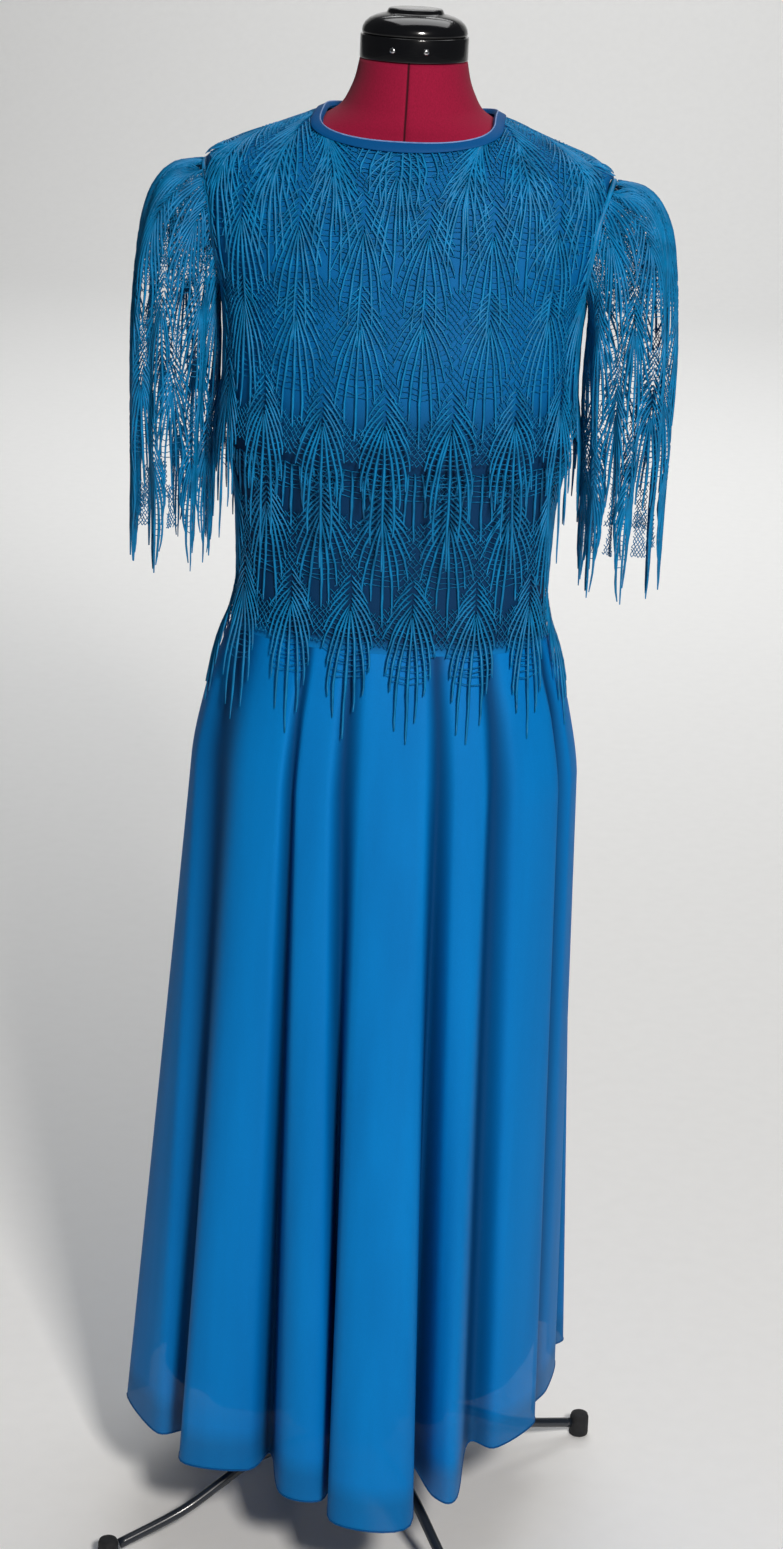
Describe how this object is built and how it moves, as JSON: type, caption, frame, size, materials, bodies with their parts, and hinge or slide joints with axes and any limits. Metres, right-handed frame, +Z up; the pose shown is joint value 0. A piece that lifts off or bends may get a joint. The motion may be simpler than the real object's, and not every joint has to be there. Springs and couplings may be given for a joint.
{
  "type": "evening gown on a dress form with a stand",
  "caption": "Floor-length evening gown with lace bodice, open-lace elbow sleeves and folded chiffon skirt, worn by a capped dress form on a four-legged stand.",
  "frame": {"origin": "on the floor under the pole, at the middle of the base", "axes": "+Z up; the gown faces -Y; +X is to the right of someone who looks at its front"},
  "size_m": [0.5238, 0.5072, 1.591],
  "materials": {
    "crepe": "matt crepe",
    "lace": "corded guipure lace",
    "chiffon": "sheer chiffon",
    "lining": "smooth lining cloth",
    "binding": "satin-backed bias strip",
    "cover": "stretch jersey cover",
    "plastic": "polished black",
    "screw": "bright",
    "steel": "dark enamel",
    "rubber": "matt"
  },
  "bodies": {
    "root": {"form_torso": "cover", "neck_band": "plastic", "neck_cap": "plastic", "band_screw_left": "screw", "band_screw_right": "screw", "pole": "steel", "base_hub": "steel", "leg_1": "steel", "leg_2": "steel", "leg_3": "steel", "leg_4": "steel", "foot_1": "rubber", "foot_2": "rubber", "foot_3": "rubber", "foot_4": "rubber", "bodice_front": "crepe", "bodice_back_right": "crepe", "bodice_back_left": "crepe", "upper_lace_front": "lace", "upper_lace_back_right": "lace", "upper_lace_back_left": "lace", "lower_lace_front": "lace", "lower_lace_back_right": "lace", "lower_lace_back_left": "lace", "sleeve_left_front": "lace", "sleeve_left_back": "lace", "sleeve_right_front": "lace", "sleeve_right_back": "lace", "neck_binding": "binding", "button_1": "binding", "button_2": "binding", "button_3": "binding", "button_4": "binding", "button_5": "binding", "button_6": "binding", "button_7": "binding", "button_8": "binding", "skirt_front": "chiffon", "skirt_back_right": "chiffon", "skirt_back_left": "chiffon", "skirt_lining_front": "lining", "skirt_lining_back_right": "lining", "skirt_lining_back_left": "lining"}
  },
  "joints": []
}
